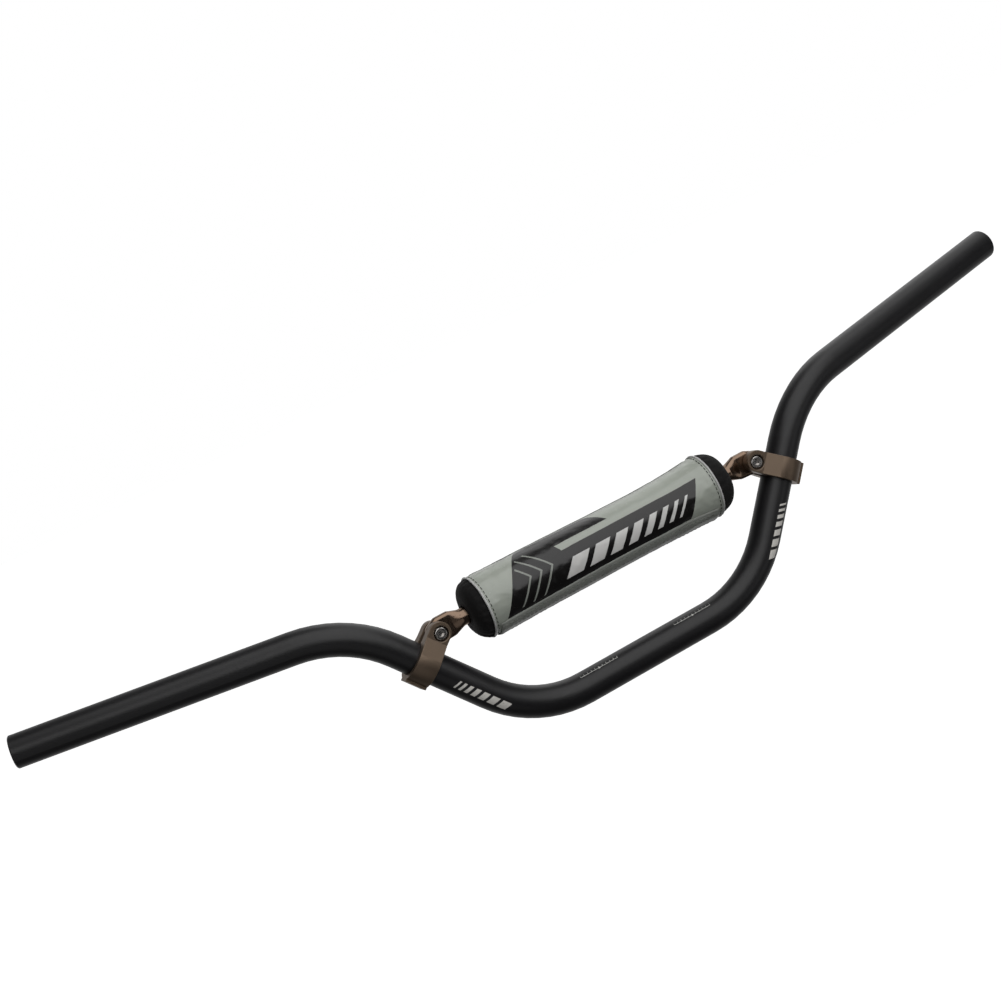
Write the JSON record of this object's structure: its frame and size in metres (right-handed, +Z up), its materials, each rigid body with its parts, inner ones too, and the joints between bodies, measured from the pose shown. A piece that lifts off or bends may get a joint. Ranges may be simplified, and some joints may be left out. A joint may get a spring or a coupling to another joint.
{
  "type": "handlebar",
  "caption": "Off-road motorcycle or quad handlebar: bent tube with swept grips, a bolted crossbar in two strap clamps, and a round padded crossbar cover.",
  "frame": {"origin": "centre of the straight middle of the bar, on the tube's axis, where the steering clamps hold it", "axes": "+X to the right along the middle section; +Y back towards the rider, the way the grips sweep; +Z up along the plane of the two risers"},
  "size_m": [0.8, 0.0822, 0.1565],
  "materials": {
    "bar_black": "satin",
    "bronze_anodised": "satin",
    "bolt_steel": "polished",
    "pad_foam": "matte",
    "pad_vinyl": "satin",
    "cap_fabric": "matte",
    "piping_vinyl": "satin",
    "hook_and_loop": "matte"
  },
  "bodies": {
    "bar_and_crossbar": {"handlebar_tube": "bar_black", "crossbar": "bronze_anodised", "left_crossbar_clamp": "bronze_anodised", "right_crossbar_clamp": "bronze_anodised", "left_clamp_bolt": "bolt_steel", "right_clamp_bolt": "bolt_steel"},
    "pad_core": {"pad_foam_core": "pad_foam"},
    "pad_shell": {"pad_cover": "pad_vinyl", "pad_closure_flap": "pad_vinyl", "pad_left_end_cap": "cap_fabric", "pad_right_end_cap": "cap_fabric", "pad_left_piping": "piping_vinyl", "pad_right_piping": "piping_vinyl", "pad_loop_strip": "hook_and_loop", "pad_hook_strip": "hook_and_loop"}
  },
  "joints": [
    {"name": "pad_slide", "type": "slide", "parent": "bar_and_crossbar", "child": "pad_core", "axis": [1, 0, 0], "range_m": [-0.003, 0.003]},
    {"name": "pad_turn", "type": "hinge", "parent": "pad_core", "child": "pad_shell", "pos_m": [0, 0, 0.0825], "axis": [1, 0, 0], "continuous": true}
  ]
}
